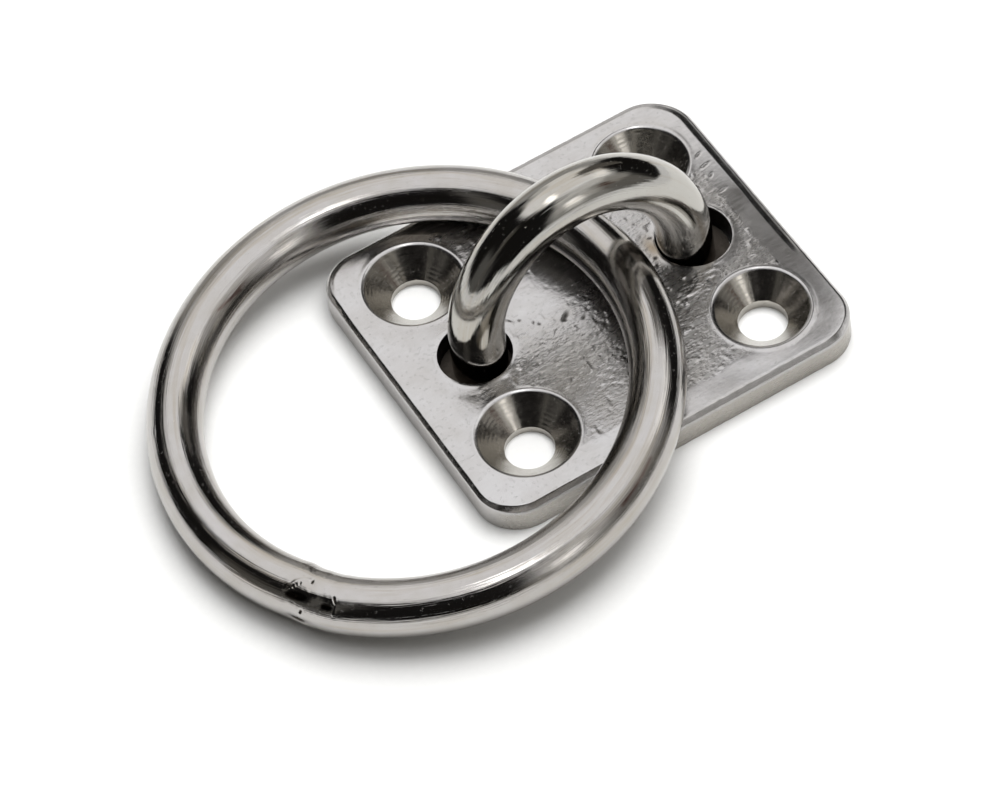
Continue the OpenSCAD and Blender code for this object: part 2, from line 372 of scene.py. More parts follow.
def add_bow(material):
    count, rows = BOW_POINTS, BOW_ROWS
    psi = np.tile(np.linspace(0, 2 * np.pi, count, endpoint=False), rows)
    s, points, tangents, outward = (np.repeat(v, count, axis=0) for v in bow_line(rows))
    normal = np.stack([np.cos(psi) * outward[:, 0], np.sin(psi), np.cos(psi) * outward[:, 1]], 1)
    section = np.stack([s * 0.12, BAR_R * np.cos(psi) * 0.8, BAR_R * np.sin(psi) * 0.8], 1)
    streaks = np.stack([s * 0.06, BAR_R * np.cos(psi) * 1.7, BAR_R * np.sin(psi) * 1.7], 1)
    away = np.minimum(s, s[-1] - s)
    radius = BAR_R - 0.005 + 0.024 * noise(section, 1.1, 31) + 0.0036 * noise(streaks, 0.7, 33)
    # A short row of seven small pits beside the crown
    across = BAR_R * np.where(psi > np.pi, psi - 2 * np.pi, psi)
    pits = [bump(s, across, (39.4 + 0.42 * k, -1.5 - 0.5 * (k % 3)), (0.07, 0.07)) for k in range(7)]
    radius -= 0.02 * sum(pits)
    for turn, start, length, height in BOW_LINES:
        t = np.clip((s - start) / length, 0, 1)
        aside = (psi - math.radians(turn) + 0.05 * np.sin(0.3 * s + turn) + np.pi) % (2 * np.pi) - np.pi
        ragged = 0.6 + 0.4 * np.sin(2.3 * s + turn)
        radius += height * np.sqrt(4 * t * (1 - t)) * ragged * np.exp(-(aside * BAR_R / 0.13) ** 2)
    level = np.zeros(len(s))
    middle = np.stack([points[:, 0], level, points[:, 1]], 1)
    verts = lean(middle + radius[:, None] * normal) + BOW_SHIFT
    # The two ends are cut off level at the plate's back, and nothing else reaches below it
    ends = np.zeros(len(s), bool)
    ends[:count] = ends[-count:] = True
    tangent = lean(np.stack([tangents[:, 0], level, tangents[:, 1]], 1))
    verts[ends] -= tangent[ends] * (verts[ends, 2] / tangent[ends, 2])[:, None]
    below = (verts[:, 2] < 0.02) & ~ends
    verts[below, 2] = 0.02
    faces = grid_faces(rows, count)
    faces.append(tuple(range(count))[::-1])
    faces.append(tuple(range((rows - 1) * count, rows * count)))
    grain = np.stack([s, level, BAR_R * ((psi - 0.75 * np.pi) % (2 * np.pi))], 1)
    # The low mark darkens the legs' last few millimetres with painted shade, for the leg holes they go down
    # into
    obj = add_mesh("bow_bar", verts, faces, material, 60, {"grain": grain, "low": 1 - step(away, 2.5, 5.5)})
    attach(obj, "base")
    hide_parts("bow")


# The plate: a cast blank with a rough field, a smooth polished band, countersinks and leg holes

def rim_section(draft, bevel, ease):
    """The rim's section from the band over the bevel down to the foot, as (outwards, height)."""
    side = np.array([math.sin(draft), -math.cos(draft)])
    band = np.array([-math.cos(BAND_SLOPE), math.sin(BAND_SLOPE)])
    across, slope = math.tan(draft), math.tan(BAND_SLOPE)
    z = (PLATE_T - BAND_W * slope) / (1 - slope * across)
    corner = np.array([-z * across, z])
    a, b = corner + bevel[0] * band, corner + bevel[1] * side
    down = (b - a) / np.linalg.norm(b - a)
    path = []
    for start, mid, end in ((a + ease * band, a, a + BEVEL_ROUND * down),
                            (b - BEVEL_ROUND * down, b, b + BEVEL_ROUND * side)):
        path += [start * (1 - t) ** 2 + mid * 2 * t * (1 - t) + end * t ** 2
                 for t in np.arange(RIM_CURVE) / (RIM_CURVE - 1)]
    last = path[-1]
    return np.array(path + [last * (1 - t) for t in np.arange(1, RIM_SIDE + 1) / RIM_SIDE])


def outline():
    """Points and outward normals round the plate's outline at its back, in order."""
    places, normals = [], []
    corners = list(CORNER_R.items())
    for k, (corner, r) in enumerate(corners):
        for a in np.radians(np.linspace(k * 90, k * 90 + 90, 37)):
            n = np.array([math.cos(a), math.sin(a)])
            places.append(np.array(corner) * (PLATE_HALF - r) + r * n)
            normals.append(n)
        corner, r = corners[(k + 1) % 4]
        first, far = places[-1], np.array(corner) * (PLATE_HALF - r) + r * n
        gap = int(np.linalg.norm(far - first) / RIM_SPACING)
        for t in np.arange(1, gap) / gap:
            places.append(first + (far - first) * t)
            normals.append(n)
    return np.array(places), np.array(normals)


def edge_distance(p):
    """Distance of points inside the plate to its outline."""
    best = np.full(len(p), np.inf)
    for (sx, sy), r in CORNER_R.items():
        inside = (p[:, 0] * sx >= 0) & (p[:, 1] * sy >= 0)
        q = np.abs(p) - (PLATE_HALF - r)
        beyond = np.hypot(np.maximum(q[:, 0], 0), np.maximum(q[:, 1], 0))
        d = r - beyond - np.minimum(np.maximum(q[:, 0], q[:, 1]), 0)
        best = np.where(inside, d, best)
    return best


# Dents and raised grains of the casting: place, half widths, turn, depth
DENTS = [((19.93, 9.24), (0.42, 0.10), 25, 0.09), ((19.75, 7.62), (0.55, 0.09), 12, 0.10),
         ((19.59, 6.12), (0.28, 0.11), 40, 0.09), ((17.6, 5.6), (0.30, 0.10), 100, 0.07),
         ((19.5, 3.72), (0.45, 0.09), 8, 0.09), ((-3.07, -0.95), (0.62, 0.20), 35, 0.10),
         ((-3.45, -1.35), (0.20, 0.16), 0, 0.08), ((-8.45, 2.1), (0.75, 0.08), 128, 0.09),
         ((-7.4, 1.3), (0.12, 0.16), 0, 0.09), ((-1.6, -2.2), (0.30, 0.12), 30, 0.08),
         ((-6.3, 0.2), (0.22, 0.10), 60, 0.06), ((-5.9, -0.3), (0.14, 0.20), 0, 0.07),
         ((9.68, 2.66), (0.18, 0.18), 0, 0.09), ((8.77, 0.04), (0.16, 0.16), 0, 0.12),
         ((-6.9, -8.3), (0.30, 0.16), 50, 0.06), ((-10.9, -5.4), (0.8, 0.35), 35, 0.05),
         ((-9.55, -7.04), (0.30, 0.22), 20, -0.06), ((-9.0, -6.6), (0.22, 0.18), 40, -0.05),
         ((-15.4, -4.06), (0.30, 0.20), 20, -0.03), ((7.8, -15.0), (0.16, 0.45), 20, -0.06),
         ((3.33, -14.75), (0.14, 0.3), 30, -0.05), ((8.3, -13.9), (0.16, 0.25), 60, -0.05)]
# Patches where the casting is coarsest: place and half widths
COARSE = [((-5.6, -2.4), (2.4, 1.7)), ((-2.6, -8.5), (3.0, 1.6)), ((19.3, 1.5), (1.2, 3.0)),
          ((10.6, -5.4), (1.8, 1.2)), ((3.5, -12.5), (4.0, 2.6)), ((-9.0, -3.4), (1.2, 0.8))]


def field_of(p):
    """How much of the rough cast field there is at each point, 0 on the smooth ground areas."""
    x, y = p[:, 0], p[:, 1]
    wobble = 0.25 * fractal(p, 1.6, 41, 2)
    field = step(edge_distance(p) + wobble, BAND_W - 0.25, BAND_W + 0.25)
    for at, lip_r in SINKS:
        field *= step(np.hypot(x - at[0], y - at[1]) + 0.3 * wobble, lip_r + 0.05, lip_r + 0.5)
    for at, hole_r in LEG_HOLES:
        field *= step(np.hypot(x - at[0], y - at[1]) + wobble, hole_r + 0.3, hole_r + 1.2)
    smooth_patch = bump(x, y, (-4.0, 3.4), (6.5, 3.8), 10)
    west = step(-x, 14.0, 17.5)
    return field * (1 - 0.8 * np.clip(smooth_patch * 1.3, 0, 1)) * (1 - 0.8 * west)


def coarse_of(p):
    """How coarse the casting is at each point, 0 to 1."""
    return np.clip(sum(bump(p[:, 0], p[:, 1], at, size) for at, size in COARSE), 0, 1)


def top_height(p):
    """The height of the plate's top at each point."""
    x, y = p[:, 0], p[:, 1]
    inset = edge_distance(p)
    # The band falls towards the rim, less so at the north edge and the north-east corner
    flatter = 0.8 * np.maximum(step(x, 12, 17) * step(y, 0, 3.5), step(y, 11, 15))
    height = PLATE_T - np.maximum(BAND_W - inset, 0) * math.tan(BAND_SLOPE) * (1 - flatter)
    # Slow waves, the sunk field with a hollow beside the west leg, and the casting's grains, pits and pimples
    inner = step(inset, 0.9, 3.0)
    field = field_of(p)
    height += inner * (0.04 * noise(p, 6.0, 51) + 0.008 * noise(p, 1.9, 52))
    height -= field * 0.04 + 0.09 * bump(x, y, (-11.3, -4.5), (2.3, 0.9))
    slanted = np.stack([x * 0.8 + y * 0.6, (y * 0.8 - x * 0.6) * 2.2], 1)
    grains = 0.006 * noise(p, 1.5, 53) + 0.0042 * noise(p, 0.7, 55) + 0.0036 * noise(slanted, 0.62, 57)
    height += field * grains * (1 + 1.3 * coarse_of(p))
    height -= field * 0.20 * np.maximum(noise(p, 0.7, 59) - 0.68, 0)
    height += field * 0.24 * np.maximum(noise(p, 0.75, 63) - 0.66, 0)
    # The east and north edges are ground down towards the rim
    east = step(x, 17, 19) * step(y, -9, -4) * (1 - step(y, 17, 19))
    height -= 0.36 * east * np.maximum(0, 1.35 - inset)
    height -= 0.30 * step(y, 15, 17) * (1 - east) * np.maximum(0, 1.0 - inset)
    # A burr round each countersink, a ragged one round each leg hole and a faint ditch outside it
    for at, lip_r in SINKS:
        height += 0.035 * np.exp(-((np.hypot(x - at[0], y - at[1]) - lip_r) / 0.22) ** 2)
    for k, (at, hole_r) in enumerate(LEG_HOLES):
        reach = np.hypot(x - at[0], y - at[1])
        angle = np.arctan2(y - at[1], x - at[0])
        ragged = 0.6 + 0.5 * noise(np.stack([np.cos(angle), np.sin(angle)], 1), 0.35, 61 + k)
        height += 0.06 * ragged * np.exp(-((reach - hole_r - 0.35) / 0.28) ** 2)
        height -= 0.04 * np.exp(-((reach - hole_r - 1.5) / 0.6) ** 2) * ragged
    for at, size, turn, depth in DENTS:
        height -= depth * bump(x, y, at, size, turn)
    return np.minimum(height, PLATE_T + 0.09)


def dent_darkening(p):
    """Darkening in the dents."""
    dirt_and_shade = sum(bump(p[:, 0], p[:, 1], at, (size[0] * 0.9, size[1] * 0.9), turn)
               for at, size, turn, depth in DENTS if depth > 0.055)
    return np.clip(1.2 * dirt_and_shade, 0, 1) * 0.85


def sink_rows(lip_r):
    """A countersink's section from its lip to the plate's back, as (radius, height)."""
    rows = [(lip_r, PLATE_T)] + [(lip_r - d, PLATE_T + h) for d, h in LIP]
    top_r, top_z = rows[-1]
    for t in np.arange(1, 41) / 40:
        rows.append((top_r + (SCREW_R - top_r) * t, top_z - (top_r - SCREW_R) * t))
    low = rows[-1][1]
    return rows + [(SCREW_R, low * (1 - t)) for t in np.arange(1, 5) / 4]


def leg_rows(hole_r):
    """A leg hole's section from its top edge to the plate's back, as (radius, height)."""
    rows = [(hole_r + 0.14, PLATE_T), (hole_r + 0.07, PLATE_T - 0.04), (hole_r + 0.02, PLATE_T - 0.12),
            (hole_r, PLATE_T - 0.3)]
    return rows + [(hole_r, (PLATE_T - 0.3) * (1 - t)) for t in np.arange(1, 9) / 8]


def cone_chatter(angle, row, rows, seed):
    """Tool marks on a countersink's cone: arcs in places, fine streaks down the cone."""
    r, z = rows[row]
    if row <= len(LIP) or r <= SCREW_R + 0.02:
        return 0 * angle
    depth = np.full(len(angle), PLATE_T - z)
    round_ = np.stack([np.cos(angle), np.sin(angle)], 1)
    drift = noise(round_ * 2, 0.9, seed)
    patch = np.clip(noise(np.column_stack([round_ * 2, depth]), 0.9, seed + 10) + 0.25, 0, 1)
    arcs = 0.009 * np.sin(2 * np.pi * depth / 0.36 + 1.8 * drift) * patch
    streaks = 0.011 * noise(round_ * 5, 0.36, seed + 20)
    streaks += 0.007 * noise(np.column_stack([round_ * 5, depth]), 0.5, seed + 30)
    return arcs + streaks


def leg_roughness(angle, row, rows, number):
    """How far the wall of a leg's hole strays outwards."""
    z = np.full(len(angle), rows[row][1])
    round_ = np.stack([np.cos(angle), np.sin(angle)], 1)
    stray = 0.06 + 0.05 * noise(round_, 0.7, 91 + number)
    stray = stray + 0.02 * noise(np.column_stack([round_ * 4, z]), 0.7, 95)
    if number == 1:  # The right leg's hole has a notch on its south side
        stray = stray + 0.20 * np.exp(-((angle - 1.47 * np.pi) / 0.16) ** 2)
    return stray * (row > 0)


def hole_wall(at, rows, top_z, stray):
    """Rings of points down a hole: the first meets the top face, the next few follow its height."""
    angle = HOLE_ANGLES
    out = []
    for row, (r, z) in enumerate(rows):
        radius = r + stray(angle, row)
        height = top_z if row == 0 else z + (top_z - PLATE_T) * max(0.0, 1 - row / 5)
        x, y = at[0] + radius * np.cos(angle), at[1] + radius * np.sin(angle)
        out.append(np.column_stack([x, y, height + 0 * angle]))
    return out


def triangulate(points, loops):
    """Triangles between flat points, within the first of the closed loops and keeping to the edges of all."""
    edges = []
    for loop in loops:
        edges += [(int(a), int(b)) for a, b in zip(loop, np.roll(loop, -1))]
    verts, _, faces, origins, _, _ = delaunay_2d_cdt([Vector(p) for p in points], edges, [], 1, 1e-6)
    index = [o[0] for o in origins]
    return [tuple(index[i] for i in f) for f in faces]


def facing(points, triangles, sign):
    """The triangles turned to face up (sign 1) or down (-1)."""
    a, b, c = (points[triangles[:, k]] for k in range(3))
    area = (b[:, 0] - a[:, 0]) * (c[:, 1] - a[:, 1]) - (b[:, 1] - a[:, 1]) * (c[:, 0] - a[:, 0])
    return np.where((area * sign > 0)[:, None], triangles, triangles[:, ::-1])


def inside_plate(points, faces, least_inset, mouths):
    """The faces that lie within the outline and outside every hole, facing up."""
    triangles = np.array(faces)
    middle = points[triangles].mean(1)
    keep = edge_distance(middle) > least_inset
    for at, r in mouths:
        keep &= np.hypot(middle[:, 0] - at[0], middle[:, 1] - at[1]) > r * 0.9995
    return facing(points, triangles[keep], 1)


def strip(first, second):
    """Quads between two closed rings of vertex numbers."""
    return [(int(a), int(b), int(d), int(c)) for a, b, c, d in
            zip(first, np.roll(first, -1), second, np.roll(second, -1))]


def add_plate(material):
    spacing = TOP_SPACING
    places, normals = outline()
    count = len(places)
    south = step(-normals[:, 1], 0.3, 0.9)[:, None, None]
    section = (1 - south) * rim_section(OTHER_DRAFT, OTHER_BEVEL, OTHER_EASE)
    section = section + south * rim_section(SOUTH_DRAFT, SOUTH_BEVEL, SOUTH_EASE)
    insets = -section[:, 0, 0]
    top_in = insets.max()
    rim = places - normals * insets[:, None]
    holes = [(at, sink_rows(lip_r)) for at, lip_r in SINKS] + [(at, leg_rows(r)) for at, r in LEG_HOLES]
    mouths = [(at, rows[0][0]) for at, rows in holes]

    # The top: the rim's points, a ring round each hole and a staggered grid between them
    gx, gy = np.meshgrid(np.arange(-PLATE_HALF[0], PLATE_HALF[0], spacing),
                         np.arange(-PLATE_HALF[1], PLATE_HALF[1], spacing * 0.866))
    gx = gx + (spacing / 2) * (np.arange(len(gx)) % 2)[:, None]
    inner = np.stack([gx.ravel(), gy.ravel()], 1)
    keep = edge_distance(inner) > top_in + spacing * 0.6
    for at, r in mouths:
        keep &= np.hypot(inner[:, 0] - at[0], inner[:, 1] - at[1]) > r + spacing * 0.6
    circle = np.stack([np.cos(HOLE_ANGLES), np.sin(HOLE_ANGLES)], 1)
    rings = [np.array(at) + r * circle for at, r in mouths]
    flat = np.concatenate([rim] + rings + [inner[keep]])
    starts = count + HOLE_POINTS * np.arange(len(holes))
    loops = [np.arange(count)] + [np.arange(s, s + HOLE_POINTS) for s in starts]
    top = inside_plate(flat, triangulate(flat, loops), insets.min() - 0.001, mouths)
    blocks = [np.column_stack([flat, top_height(flat)])]
    marks = [np.column_stack([field_of(flat), coarse_of(flat), np.zeros(len(flat)), dent_darkening(flat)])]
    faces = top.tolist()
    total = len(flat)

    def add_block(points, machined_and_shade, painted_shade=0.0):
        nonlocal total
        blocks.append(points)
        marks.append(np.array([np.broadcast_to(mark, len(points)) for mark in (0.0, 0.0, machined_and_shade, painted_shade)]).T)
        total += len(points)
        return np.arange(total - len(points), total)

    # The bevel, then the side down to the back, with pits; the south side is duller, and darker and browner
    # with painted shade
    lift = blocks[0][:count, 2] - section[:, 0, 1]
    pits = 0.02 * noise(places, 0.9, 101) + 0.012 * noise(places, 0.35, 103)
    previous = np.arange(count)
    facing_south = south[:, 0, 0]
    for k in range(1, section.shape[1]):
        x, z = section[:, k, 0], section[:, k, 1]
        fade = max(0.0, 1 - k / RIM_FADE)
        on_side = k >= 2 * RIM_CURVE
        rough = -np.abs(pits + 0.012 * noise(np.column_stack([places, 2.0 * z]), 0.5, 105)) * (k > 2)
        # On the south side the stronger machined tone and the darkening are painted shade
        ring = add_block(np.column_stack([places + normals * (x + rough)[:, None], z + lift * fade]),
                         (0.3 + 0.6 * facing_south) * on_side, 0.2 * facing_south * (k > RIM_CURVE))
        faces += strip(ring, previous)
        previous = ring
    back_loops = [previous]

    # The holes' walls, from the top down
    for number, (at, rows) in enumerate(holes):
        first = np.arange(starts[number], starts[number] + HOLE_POINTS)
        is_sink = number < len(SINKS)

        def stray(angle, row):
            if is_sink:
                return cone_chatter(angle, row, rows, 71 + number)
            return leg_roughness(angle, row, rows, number - len(SINKS))

        walls = hole_wall(at, rows, blocks[0][first, 2], stray)
        previous = first
        for row, points in enumerate(walls[1:], 1):
            # The leg holes' walls darken with depth: painted shade
            painted_shade = 0.0 if is_sink else min(1.0, row / 3)
            ring = add_block(points, 1.0 * (row > len(LIP)) if is_sink else 0.0, painted_shade)
            faces += strip(previous, ring)
            previous = ring
        back_loops.append(previous)

    # The flat back, between the foot of the side and the holes' lower edges
    verts, marks = np.concatenate(blocks), np.concatenate(marks)
    back_index = np.concatenate(back_loops)
    verts[back_index, 2] = 0
    back = verts[back_index, :2]
    ends = np.cumsum([0] + [len(loop) for loop in back_loops])
    loops = [np.arange(a, b) for a, b in zip(ends, ends[1:])]
    under = np.array(triangulate(back, loops))
    keep = edge_distance(back[under].mean(1)) > 0
    for loop in loops[1:]:
        keep &= ~np.isin(under, loop).all(1)
    faces += back_index[facing(back, under[keep], -1)].tolist()
    labels = ("field", "coarse", "machined_and_shade", "dirt_and_shade")
    attributes = {label: marks[:, k] for k, label in enumerate(labels)}
    # A brown stain at the right leg's hole, on the top only
    attributes["stain"] = 0.8 * bump(verts[:, 0], verts[:, 1], (9.2, 1.4), (0.7, 1.5)) * (verts[:, 2] > 3)
    obj = add_mesh("cast_plate", verts, [tuple(f) for f in faces], material, 40, attributes)
    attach(obj, "base")
    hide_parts("mounting_plate")


# Materials

def new_material(name):
    """A material that starts as metal, its node tree and its shader."""
    material = bpy.data.materials.new(name)
    material.use_nodes = True
    tree = material.node_tree
    shader = next(n for n in tree.nodes if n.type == "BSDF_PRINCIPLED")
    shader.inputs["Metallic"].default_value = 1.0
    return material, tree, shader


def node(tree, kind, inputs=None, **settings):
    """A node with its settings; an input is linked to a socket or set to a value."""
    made = tree.nodes.new(kind)
    for key, value in settings.items():
        setattr(made, key, value)
    for key, value in (inputs or {}).items():
        if isinstance(value, bpy.types.NodeSocket):
            tree.links.new(value, made.inputs[key])
        else:
            made.inputs[key].default_value = value
    return made


def math_node(tree, operation, a, b=0.0, c=None, clamp=False):
    inputs = {0: a, 1: b}
    if c is not None:
        inputs[2] = c
    return node(tree, "ShaderNodeMath", inputs, operation=operation, use_clamp=clamp).outputs[0]


def attribute(tree, name, output="Fac"):
    made = node(tree, "ShaderNodeAttribute", attribute_name=name, attribute_type="GEOMETRY")
    return made.outputs[output]


def scaled(tree, vector, scale):
    return node(tree, "ShaderNodeVectorMath", {0: vector, 1: scale}, operation="MULTIPLY").outputs[0]


def noise_node(tree, vector, scale, detail=2.0, roughness=0.5):
    return node(tree, "ShaderNodeTexNoise", {"Vector": vector, "Scale": scale, "Detail": detail,
                                             "Roughness": roughness}).outputs["Fac"]


def ranged(tree, value, low, high, to_low, to_high, kind="LINEAR"):
    inputs = {"Value": value, "From Min": low, "From Max": high, "To Min": to_low, "To Max": to_high}
    return node(tree, "ShaderNodeMapRange", inputs, interpolation_type=kind).outputs[0]


def mix_colour(tree, factor, a, b):
    mix = node(tree, "ShaderNodeMix", data_type="RGBA", blend_type="MIX")
    for index, value in ((0, factor), (6, a), (7, b)):
        if isinstance(value, bpy.types.NodeSocket):
            tree.links.new(value, mix.inputs[index])
        else:
            mix.inputs[index].default_value = value
    return mix.outputs[2]


def bump_node(tree, height, distance, strength=1.0, normal=None):
    inputs = {"Height": height, "Distance": distance, "Strength": strength}
    if normal is not None:
        inputs["Normal"] = normal
    return node(tree, "ShaderNodeBump", inputs).outputs[0]


# Colours: each metal where it is clean and where it is cloudy, what lies on it, and painted shade
RING_TONES = (0.46, 0.445, 0.435, 1), (0.42, 0.40, 0.375, 1)
BOW_TONES = (0.45, 0.44, 0.415, 1), (0.42, 0.405, 0.375, 1)
CAST_TONES = (0.47, 0.458, 0.455, 1), (0.41, 0.395, 0.38, 1)
GROUND_TONES = (0.54, 0.53, 0.53, 1), (0.48, 0.465, 0.455, 1)
MACHINED = (0.43, 0.405, 0.36, 1)
BROWNER = (0.36, 0.32, 0.26, 1)
HEAT_RED = (0.16, 0.06, 0.04, 1)
# Painted shade for the ring's lower side, which mirrors the floor's shadow
RING_UNDERSIDE_SHADE = (0.20, 0.185, 0.16, 1)
# Painted shade on the bow's legs where they go down into the leg holes
BOW_FOOT_SHADE = (0.17, 0.14, 0.11, 1)
STAIN = (0.24, 0.18, 0.11, 1)
# Dark residue in the ring's weld, darkening in the plate's dents, and painted shade down the leg holes and on
# the plate's south side
DARK_RESIDUE_AND_SHADE = (0.035, 0.028, 0.022, 1)
# The welds' tones, darkened with painted shade for the leg holes they lie in
WELD_AND_HOLE_SHADE_TONES = (0.12, 0.105, 0.09, 1), (0.05, 0.042, 0.035, 1)


def bar_material(name, tones, rough, streak_depth):
    """Polished bar stock: fine lines along the bar, faint cloudiness, a few pits."""
    material, tree, shader = new_material(name)
    is_ring = name == "ring_polish"

    def tinted(tone, label, amount, colour):
        return mix_colour(tree, math_node(tree, "MULTIPLY", attribute(tree, label), amount), tone, colour)

    grain = attribute(tree, "grain", "Vector")
    lines = noise_node(tree, scaled(tree, grain, (0.05, 0.05, 3.6)), 1.0, 3.0, 0.65)
    fine = noise_node(tree, scaled(tree, grain, (0.35, 0.35, 16.0)), 1.0, 2.0, 0.6)
    position = node(tree, "ShaderNodeNewGeometry").outputs["Position"]
    cloud = noise_node(tree, position, 260.0, 3.0, 0.6)
    tone = mix_colour(tree, ranged(tree, cloud, 0.35, 0.7, 0.0, 1.0), *tones)
    browner = noise_node(tree, scaled(tree, grain, (0.06, 0.06, 1.1)), 1.0, 3.0, 0.6)
    tone = mix_colour(tree, ranged(tree, browner, 0.50, 0.68, 0.0, 0.55), tone, BROWNER)
    if is_ring:
        tone = tinted(tone, "red", 0.5, HEAT_RED)
        # Painted shade on the ring's lower side
        tone = tinted(tone, "under", 0.75, RING_UNDERSIDE_SHADE)
        tone = mix_colour(tree, attribute(tree, "dirt_and_shade"), tone, DARK_RESIDUE_AND_SHADE)
    else:
        # Painted shade on the legs' feet, in the leg holes
        tone = tinted(tone, "low", 0.6, BOW_FOOT_SHADE)
    tree.links.new(tone, shader.inputs["Base Color"])
    shine = ranged(tree, lines, 0.3, 0.75, rough[0], rough[1])
    if is_ring:
        shine = math_node(tree, "ADD", shine, math_node(tree, "MULTIPLY", attribute(tree, "under"), 0.14))
    tree.links.new(shine, shader.inputs["Roughness"])
    normal = bump_node(tree, lines, streak_depth * MM, 0.9)
    normal = bump_node(tree, fine, streak_depth * 0.25 * MM, 0.8, normal)
    specks = math_node(tree, "GREATER_THAN", noise_node(tree, position, 2600.0, 0.0), 0.78)
    normal = bump_node(tree, specks, -0.006 * MM, 0.6, normal)
    tree.links.new(normal, shader.inputs["Normal"])
    return material


def plate_material():
    """Cast stainless: a sparkling pitted field, smooth ground areas and turned holes."""
    material, tree, shader = new_material("plate_cast")
    field, machined_and_shade = attribute(tree, "field"), attribute(tree, "machined_and_shade")
    position = node(tree, "ShaderNodeNewGeometry").outputs["Position"]
    cloud = noise_node(tree, position, 190.0, 4.0, 0.6)
    cloud = ranged(tree, cloud, 0.35, 0.68, 0.0, 1.0)
    cast = mix_colour(tree, cloud, *CAST_TONES)
    ground = mix_colour(tree, cloud, *GROUND_TONES)
    tone = mix_colour(tree, field, ground, cast)
    # The turned tone: real on the countersinks' cones and the sides, painted shade where it is stronger on
    # the south side
    tone = mix_colour(tree, math_node(tree, "MULTIPLY", machined_and_shade, 0.8), tone, MACHINED)
    tone = mix_colour(tree, attribute(tree, "stain"), tone, STAIN)
    # Darkening in the dents, and painted shade down the leg holes and on the south side
    tone = mix_colour(tree, attribute(tree, "dirt_and_shade"), tone, DARK_RESIDUE_AND_SHADE)
    tree.links.new(tone, shader.inputs["Base Color"])
    orange_peel = noise_node(tree, position, 2700.0, 1.5, 0.5)
    turned = node(tree, "ShaderNodeMapping", {"Vector": position, "Rotation": (0, 0, -0.65),
                                              "Scale": (1300, 3400, 1300)}).outputs[0]
    dashes = noise_node(tree, turned, 1.0, 1.5, 0.5)
    smear = noise_node(tree, scaled(tree, position, (0.25, 1.0, 1.0)), 2600.0, 3.0, 0.6)
    rough = ranged(tree, field, 0.0, 1.0, 0.21, 0.27)
    rough = math_node(tree, "ADD", rough, ranged(tree, smear, 0.3, 0.7, -0.04, 0.05))
    rough = math_node(tree, "ADD", rough, math_node(tree, "MULTIPLY", attribute(tree, "dirt_and_shade"), 0.3))
    tree.links.new(rough, shader.inputs["Roughness"])
    amount = math_node(tree, "ADD", field, 0.10)
    coarse = math_node(tree, "MULTIPLY", attribute(tree, "coarse"), field)
    amount = math_node(tree, "ADD", amount, math_node(tree, "MULTIPLY", coarse, 1.4))
    relief = math_node(tree, "MULTIPLY", math_node(tree, "ADD", orange_peel, dashes), amount)
    normal = bump_node(tree, relief, 0.030 * MM, 1.0)
    pits = math_node(tree, "GREATER_THAN", noise_node(tree, position, 2300.0, 0.5), 0.69)
    normal = bump_node(tree, pits, -0.014 * MM, 0.8, normal)
    normal = bump_node(tree, smear, 0.004 * MM, 0.7, normal)
    tree.links.new(normal, shader.inputs["Normal"])
    return material


def weld_material():
    """A dull, uneven weld, nearly black: its tone is painted shade for the leg holes it lies in."""
    material, tree, shader = new_material("weld_matte")
    position = node(tree, "ShaderNodeNewGeometry").outputs["Position"]
    cloud = noise_node(tree, position, 900.0, 4.0, 0.6)
    tone = mix_colour(tree, cloud, *WELD_AND_HOLE_SHADE_TONES)
    tree.links.new(tone, shader.inputs["Base Color"])
    shader.inputs["Roughness"].default_value = 0.5
    normal = bump_node(tree, cloud, 0.15 * MM, 0.8)
    tree.links.new(normal, shader.inputs["Normal"])
    return material


# Studio: a pale floor, a soft lamp for its shadows, and a world of plain panels for the metal to mirror

# Each panel: azimuth and elevation of its middle, half sizes and softness in degrees, grey level, tint
PANELS = [
    (182, 12, 22, 15, 5, 0.13, (1.0, 0.98, 0.93)),
    (196, 38, 7, 17, 4, 0.13, (1.0, 0.97, 0.90)),
    (77, 8, 25, 19, 3, 0.46, (1.0, 0.985, 0.96)),
    (70, 40, 18, 14, 4, 1.20, (1.0, 0.99, 0.97)),
    (44, 51, 6, 6, 3, 1.15, (1.0, 0.99, 0.97)),
    (93, 42, 8, 12, 3, 0.75, (1.0, 0.98, 0.95)),
    (108, 49, 9, 7, 4, 0.60, (1.0, 0.98, 0.95)),
    (288, 8, 18, 12, 4, 0.36, (1.0, 0.98, 0.94)),
    (288, 32, 18, 14, 4, 0.62, (1.0, 0.985, 0.96)),
    (290, 53, 20, 8, 4, 0.92, (1.0, 0.985, 0.96)),
    (322, 12, 20, 12, 5, 0.20, (1.0, 0.97, 0.92)),
    (325, 32, 22, 9, 4, 0.42, (1.0, 0.97, 0.92)),
    (322, 51, 26, 10, 5, 0.84, (1.0, 0.985, 0.96)),
    (313, 29, 6, 4.5, 1.5, 0.08, (1.0, 0.42, 0.30)),
    (352, 40, 13, 4, 3, 0.60, (1.0, 0.99, 0.97)),
    (4, 50, 17, 8, 3, 1.60, (1.0, 0.99, 0.97)),
    (285, 20, 5, 6, 2, 1.30, (1.0, 0.99, 0.97)),
    (285.5, 31, 5.5, 6, 2, 2.20, (1.0, 0.99, 0.97)),
]
# The soft box overhead and the bright spot in it: azimuth and elevation of the middle, radius and softness in
# degrees, grey level
OVERHEAD = [(60, 79, 33, 4, 1.24), (258, 84, 5, 2.5, 5.5)]
# The world between the panels
DARK_ROOM = (0.012, 0.0115, 0.011, 1)
WHITE = (1, 1, 1, 1)
